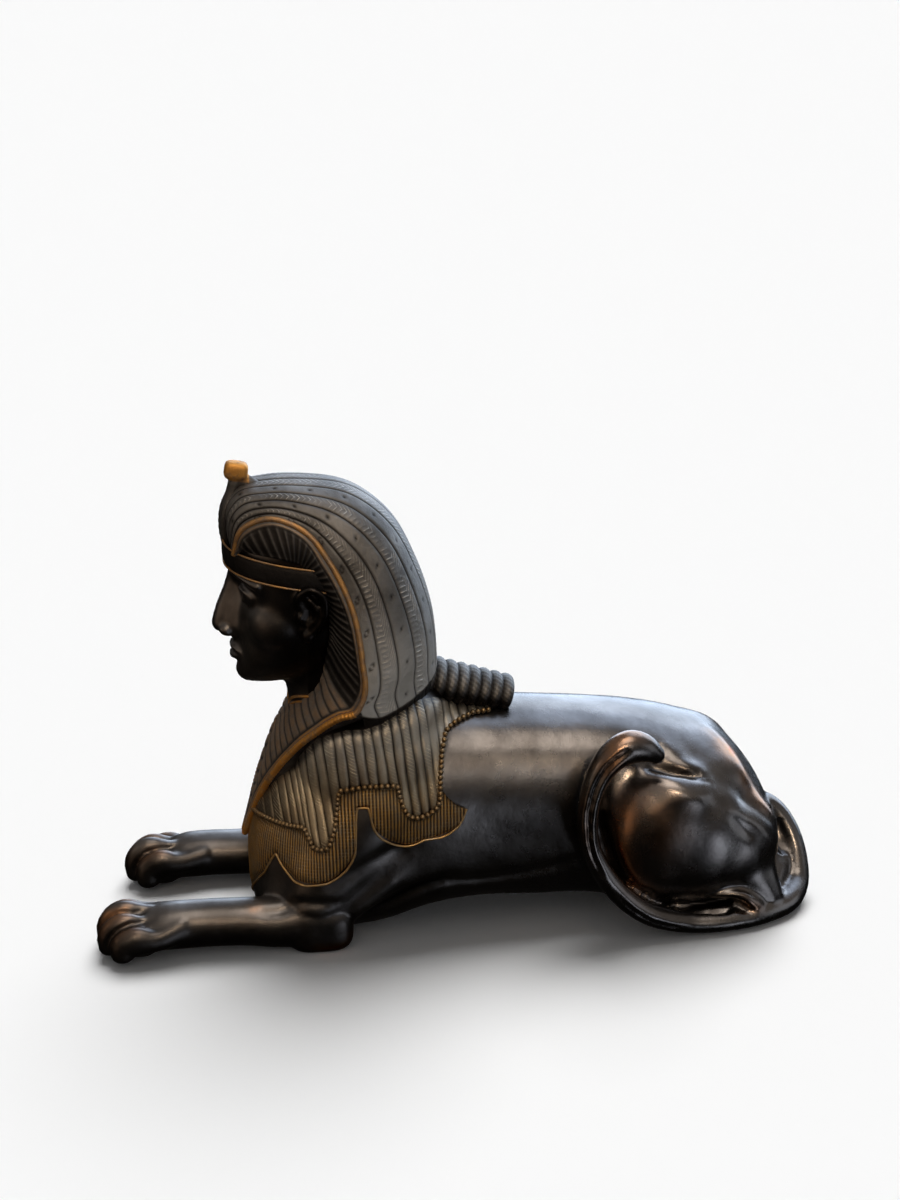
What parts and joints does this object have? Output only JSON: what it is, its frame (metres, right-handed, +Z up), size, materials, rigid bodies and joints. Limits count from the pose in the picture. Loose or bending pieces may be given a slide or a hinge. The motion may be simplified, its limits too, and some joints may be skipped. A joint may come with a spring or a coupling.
{
  "type": "sphinx statue",
  "caption": "Recumbent sphinx cast in bronze: lion's body with outstretched forelegs, human head in a striped headcloth, broad lobed collar, tail curled round the left haunch.",
  "frame": {"origin": "middle of the statue's plan box, on the ground that it rests on", "axes": "+Z up, the sphinx faces -Y, its left side is towards +X"},
  "size_m": [0.1404, 0.4424, 0.2907],
  "materials": {
    "bronze": "cast bronze, dark brown-black waxed patina, rubbed to gold on raised edges, beads and collar hem"
  },
  "bodies": {
    "root": {"sphinx": "bronze"}
  },
  "joints": []
}
